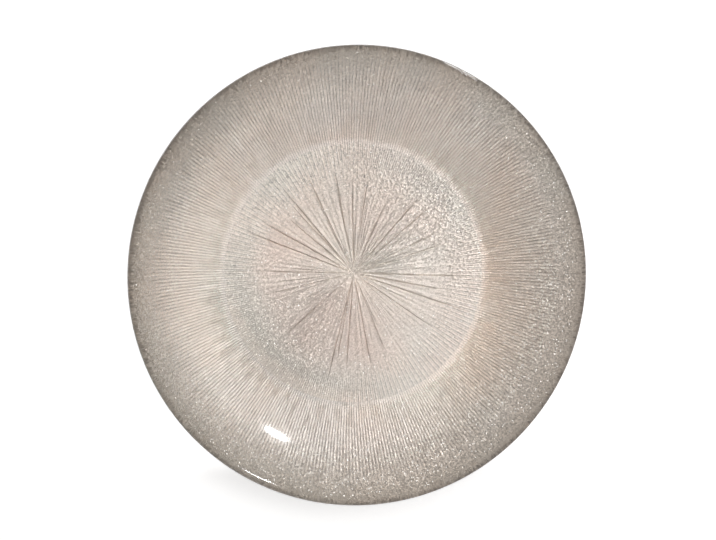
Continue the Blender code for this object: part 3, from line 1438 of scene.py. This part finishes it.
@dataclass
class GlassBody:
    """The pressed glass: smooth face, round lip, foot ring, ribs and rays."""

    shape: PlateShape
    relief: Relief
    finish: GlassFinish = field(default_factory=GlassFinish)
    face_count: int = 720
    well_count: int = 720
    floor_rings: tuple[float, ...] = (0.15, 0.35, 0.55, 0.75, 0.92)
    knee_steps: int = 6
    lip_steps: int = 14
    foot_steps: int = 4
    well_rings: int = 12

    def add_back(self, skin: Skin) -> None:
        """Add the ribbed back of the rim, the foot ring and the rayed back of the well.

        Args:
            skin: The surface of the glass.
        """
        shape, relief = self.shape, self.relief
        skin.add_ribs(shape, relief)
        skin.add_line(shape.foot(0.0, self.foot_steps))
        edge = shape.foot_inner - shape.foot_rounding
        for radius in np.linspace(edge, relief.middle_radius, self.well_rings):
            depth = relief.ray_depth(radius, turns(self.well_count)) + relief.pebble_depth
            skin.add(radius, shape.underside - depth, self.well_count)

    def build(self) -> Piece:
        """Build the glass.

        Returns:
            The piece.
        """
        shape = self.shape
        skin = Skin("glass_body")
        skin.add_line((share * shape.well_radius, shape.floor_top) for share in self.floor_rings)
        face = shape.wall(-shape.half_wall, shape.knee_run)
        edge = shape.knee(self.knee_steps) + shape.lip(self.lip_steps)
        skin.add_line(face + edge, self.face_count)
        self.add_back(skin)
        return skin.build(looped=False)

    def dress(self, obj: Piece, effects: Effects) -> None:
        """Give the glass its finish, and let lamps light the lacquer under it."""
        place_piece(obj, "glass_plate", "clear_glass", self.finish.material(effects))
        obj.visible_shadow = False


@dataclass
class Lacquer:
    """The three coats on the back. The glitter lies in the grooves of the glass, with no air between."""

    shape: PlateShape
    relief: Relief
    bond: float = 0.04 * MM
    glitter_thickness: float = 0.25 * MM
    ground_thickness: float = 0.20 * MM
    seal_thickness: float = 0.15 * MM
    telegraph: float = 0.55
    edge_gap: float = 0.3 * MM
    step_run: float = 0.4 * MM
    overlap: float = 0.05 * MM
    bare_lip: float = 0.1 * MM
    lip_top: float = math.radians(4.0)
    lip_thickness: float = 0.02 * MM
    lip_steps: int = 8
    foot_steps: int = 3
    middle_count: int = 720
    outer_count: int = 1440
    well_step: float = 0.42 * MM
    middle_step: float = 0.76 * MM
    middle_radius: float = 44 * MM
    crisp_edges: float = math.radians(30.0)

    def plain_wall(self, below: float) -> list[Point]:
        """A plain line along the rim, below the glass's plain back, as far as the glitter goes."""
        return self.shape.wall(self.shape.half_wall + below, self.bare_lip)

    def rim_glitter(self) -> Piece:
        """Build the glitter under the rim, from inside the foot ring to the back of the lip.

        Returns:
            The piece.
        """
        shape = self.shape
        skin = Skin("rim_glitter")
        skin.add(shape.foot_inner + self.bond, shape.underside)
        skin.add(shape.foot_outer - self.step_run, shape.underside)
        skin.add_ribs(shape, self.relief, -self.bond, self.bare_lip, outward=True)
        skin.add_line(reversed(self.plain_wall(self.relief.rib_depth + self.glitter_thickness)))
        skin.add_line(shape.foot(self.bond / 2, self.foot_steps))
        return skin.build(looped=True, crisp=self.crisp_edges)

    def well_glitter(self) -> Piece:
        """Build the glitter under the well and over the foot ring, in the rays and among the pebbles.

        Returns:
            The piece.
        """
        shape, relief = self.shape, self.relief
        skin = Skin("well_glitter")
        edge = shape.well_radius
        inner = np.arange(relief.middle_radius, self.middle_radius, self.middle_step)
        outer = np.arange(edge, self.middle_radius, -self.well_step)[::-1]
        top = shape.underside + self.bond + self.overlap + relief.pebble_depth
        for radii, count in ((inner, self.middle_count), (outer, self.outer_count)):
            turn = turns(count)
            for radius in radii:
                depth = relief.ray_depth(radius, turn) + relief.pebble_height(radius, turn)
                skin.add(radius, top - depth + relief.inner_rib_gap(radius, turn), count)
        level = shape.underside - relief.well_depth - self.glitter_thickness
        skin.add(edge, shape.underside)
        skin.add(shape.foot_inner, shape.underside)
        skin.add(shape.foot_inner, level)
        skin.add(edge / 2, level)
        return skin.build(looped=False, crisp=self.crisp_edges)

    def rim_cover(self, name: str, start: float, thickness: float, round_lip: bool) -> Piece:
        """Build a coat over the glitter under the rim, on which the ribs still show.

        Args:
            name: The piece's name.
            start: How far below the ribs' crests it begins.
            thickness: Its thickness.
            round_lip: True if it also runs over the back of the lip.

        Returns:
            The piece.
        """
        shape, relief = self.shape, self.relief
        skin = Skin(name)
        top = relief.rib_depth + start
        skin.add_line(self.plain_wall(top))
        if round_lip:
            skin.add_line(shape.wall_end(shape.half_wall - self.bond, self.bare_lip, self.foot_steps))
            skin.add_line(shape.lip_back(self.bond, self.lip_top, self.lip_steps))
            skin.add_line(reversed(shape.lip_back(-self.lip_thickness, self.lip_top, self.lip_steps)))
        under = top + thickness - self.telegraph * relief.rib_depth
        skin.add_ribs(shape, relief, under, self.bare_lip, self.telegraph)
        return skin.build(looped=True)

    def well_cover(self, name: str, start: float, thickness: float) -> Piece:
        """Build a coat over the glitter under the well, on which the rays still show.

        Args:
            name: The piece's name.
            start: How far below the rays' crests it begins.
            thickness: Its thickness.

        Returns:
            The piece.
        """
        shape, relief = self.shape, self.relief
        skin = Skin(name)
        edge = shape.foot_inner - self.edge_gap
        top = shape.underside - relief.well_depth - start
        skin.add(edge / 2, top)
        skin.add(edge, top)
        for radius in np.arange(edge, relief.middle_radius, -2 * self.middle_step):
            depth = self.telegraph * relief.ray_depth(radius, turns(self.middle_count))
            skin.add(radius, top - thickness - depth, self.middle_count)
        return skin.build(looped=False)

    def build(self) -> dict[tuple[CoatArea, CoatLayer], Piece]:
        """Build every coat.

        Returns:
            The pieces, by area and layer.
        """
        coats = {
            (CoatArea.RIM, CoatLayer.GLITTER): self.rim_glitter(),
            (CoatArea.WELL, CoatLayer.GLITTER): self.well_glitter(),
        }
        start = self.glitter_thickness
        covers = {CoatLayer.GROUND: self.ground_thickness, CoatLayer.SEAL: self.seal_thickness}
        for layer, thickness in covers.items():
            round_lip = layer is CoatLayer.GROUND
            coats[CoatArea.RIM, layer] = self.rim_cover("rim_" + layer.value, start, thickness, round_lip)
            coats[CoatArea.WELL, layer] = self.well_cover("well_" + layer.value, start, thickness)
            start += thickness
        return coats

    def dress(self, coats: dict[tuple[CoatArea, CoatLayer], Piece], effects: Effects) -> None:
        """Give the coats their finishes.

        Args:
            coats: The pieces, by area and layer.
            effects: The shared node groups.
        """
        ground = ("beige_ground", GroundFinish().material(effects))
        seal = ("clear_seal", SealFinish().material(effects))
        rim = RimGlitterFinish("champagne_glitter_rim").material(effects)
        well = WellGlitterFinish("champagne_glitter_well").material(effects)
        glitter = {CoatArea.RIM: rim, CoatArea.WELL: well}
        for (area, layer), obj in coats.items():
            covers = {CoatLayer.GROUND: ground, CoatLayer.SEAL: seal}
            slot, material = covers.get(layer, ("champagne_glitter", glitter[area]))
            place_piece(obj, f"{area.value}_{layer.value}_coat", slot, material)
            obj.visible_shadow = layer is not CoatLayer.SEAL


def aim(bearing: float, off_axis: float) -> Vector:
    """A direction, from its bearing round the plate's axis and its angle off that axis."""
    across = math.sin(off_axis)
    return Vector((across * math.cos(bearing), across * math.sin(bearing), math.cos(off_axis)))


@dataclass(frozen=True)
class SoftBox:
    """An oval area lamp that points at the plate, with its bearing and angle off the axis in degrees."""

    name: str
    bearing: float
    off_axis: float
    distance: float
    width: float
    height: float
    radiance: float
    shows_in: Shows

    def build(self, glass: Piece) -> None:
        """Place the lamp. One on the coats is sampled as a light alone, so that no flake catches it.

        Args:
            glass: The plate's glass.
        """
        lamp = bpy.data.lights.new(self.name, "AREA")
        lamp.shape = "ELLIPSE"
        lamp.size = self.width
        lamp.size_y = self.height
        # Power of an evenly bright oval: its radiance times its area times pi
        lamp.energy = self.radiance * self.width * self.height * math.pi**2 / 4
        obj = bpy.data.objects.new(self.name, lamp)
        bearing = math.radians(self.bearing)
        away = aim(bearing, math.radians(self.off_axis))
        obj.location = away * self.distance
        across = Vector((-math.sin(bearing), math.cos(bearing), 0.0))
        obj.rotation_euler = Matrix((across, away.cross(across), away)).transposed().to_euler()
        obj.visible_camera = False
        chosen = bpy.data.collections.new(self.name + "_shows_in")
        chosen.objects.link(glass)
        obj.light_linking.receiver_collection = chosen
        if self.shows_in is Shows.GLASS:
            obj.visible_transmission = False
        else:
            chosen.collection_objects[0].light_linking.link_state = "EXCLUDE"
            lamp.cycles.use_multiple_importance_sampling = False
        bpy.context.scene.collection.objects.link(obj)


@dataclass
class Studio:
    """A pale floor, an even sky, four soft lamps on the coats, and two that glint in the glass."""

    floor_size: float = 20.0
    floor_gap: float = 0.2 * MM
    floor_tint: Colour = (0.86, 0.86, 0.86)
    floor_roughness: float = 0.9
    floor_lift: float = 0.85
    front_lift: float = 0.42
    front_edges: Point = mm(-80, -95)
    sky_level: float = 0.55
    sky_tint: Colour = (1.0, 0.985, 0.97)
    lamps: tuple[SoftBox, ...] = (
        SoftBox("key", 35, 21, 1.6, 0.74, 0.74, 1.66, Shows.COATS),
        SoftBox("upper", 70, 21, 1.6, 0.74, 0.74, 0.95, Shows.COATS),
        SoftBox("side", 350, 33, 0.6, 0.3, 0.3, 1.3, Shows.COATS),
        SoftBox("front", 240, 22, 0.6, 0.3, 0.3, 0.82, Shows.COATS),
        SoftBox("bulb", 50.2, 39.1, 1.153, 0.112, 0.066, 44.0, Shows.GLASS),
        SoftBox("edge", 56, 80, 1.0, 0.17, 0.7, 8.0, Shows.GLASS),
    )

    def build_floor(self) -> None:
        """Lay the floor, which shows white but keeps the plate's shadow."""
        half = self.floor_size / 2
        corners = [(-half, -half), (half, -half), (half, half), (-half, half)]
        mesh = bpy.data.meshes.new("floor")
        mesh.from_pydata([(x, y, -self.floor_gap) for x, y in corners], [], [(0, 1, 2, 3)])
        floor = bpy.data.objects.new("floor", mesh)
        bpy.context.scene.collection.objects.link(floor)
        material, board, shader = start_material("pale_floor")
        rays = board.add("LightPath").outputs
        seen = board.maths("MAXIMUM", rays["Is Camera Ray"], rays["Is Glossy Ray"])
        seen = board.maths("MAXIMUM", seen, rays["Is Transmission Ray"])
        depth = board.along((0.0, 1.0, 0.0))
        lift = board.between(depth, *self.front_edges, self.floor_lift, self.front_lift)
        inputs = {
            "Base Color": (*self.floor_tint, 1.0),
            "Roughness": self.floor_roughness,
            "Emission Color": WHITE,
            "Emission Strength": board.times(seen, lift),
        }
        board.fill(shader, inputs)
        mesh.materials.append(material)
        floor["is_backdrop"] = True

    def build_world(self) -> None:
        """Light the plate evenly from all round."""
        world = bpy.data.worlds.new("studio")
        world.use_nodes = True
        bpy.context.scene.world = world
        board = Board(world.node_tree)
        sky = board.add("Background", {"Color": (*self.sky_tint, 1.0), "Strength": self.sky_level})
        board.add("OutputWorld", {0: sky.outputs[0]})

    def build(self, glass: Piece) -> None:
        """Set up the studio.

        Args:
            glass: The plate's glass.
        """
        self.build_floor()
        self.build_world()
        for lamp in self.lamps:
            lamp.build(glass)
        bpy.context.scene.view_settings.view_transform = "Standard"


@dataclass(frozen=True)
class Viewpoint:
    """Where the photograph was taken from, with the plate's place and radius in its own pixels."""

    image_width: int = 716
    image_height: int = 540
    plate_x: float = 358.3
    plate_y: float = 275.95
    plate_pixels: float = 231.2
    distance: float = 1.8
    lean: float = math.radians(8.0)
    lean_bearing: float = math.radians(149.0)

    def build(self, shape: PlateShape) -> None:
        """Place the camera.

        Args:
            shape: The plate's profile.
        """
        data = bpy.data.cameras.new("camera")
        data.sensor_fit = "HORIZONTAL"
        pixels = self.plate_pixels * self.distance / shape.plate_radius
        data.lens = data.sensor_width * pixels / self.image_width
        camera = bpy.data.objects.new("camera", data)
        bpy.context.scene.collection.objects.link(camera)
        back = aim(self.lean_bearing, self.lean)
        right = Vector((0.0, 1.0, 0.0)).cross(back).normalized()
        up = back.cross(right)
        per_pixel = shape.plate_radius / self.plate_pixels
        middle = Vector((0.0, 0.0, shape.lip_centre[1]))
        middle += right * (self.image_width / 2 - self.plate_x) * per_pixel
        middle -= up * (self.image_height / 2 - self.plate_y) * per_pixel
        place = Matrix((right, up, back)).transposed().to_4x4()
        place.translation = middle + back * self.distance
        camera.matrix_world = place
        bpy.context.scene.camera = camera


def main() -> None:
    """Build the plate's looks round the frame."""
    logging.basicConfig(level=logging.INFO, format="%(name)s: %(message)s")
    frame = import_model()
    cad_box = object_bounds()
    shape = PlateShape.from_frame(frame["record"])
    relief = Relief()
    effects = Effects()
    body = GlassBody(shape, relief)
    glass = body.build()
    body.dress(glass, effects)
    lacquer = Lacquer(shape, relief)
    lacquer.dress(lacquer.build(), effects)
    Studio().build(glass)
    Viewpoint().build(shape)
    boxes = {"cad": cad_box, "visual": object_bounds()}
    {name: [list(corner) for corner in box] for name, box in boxes.items()}


if __name__ == "__main__":
    main()
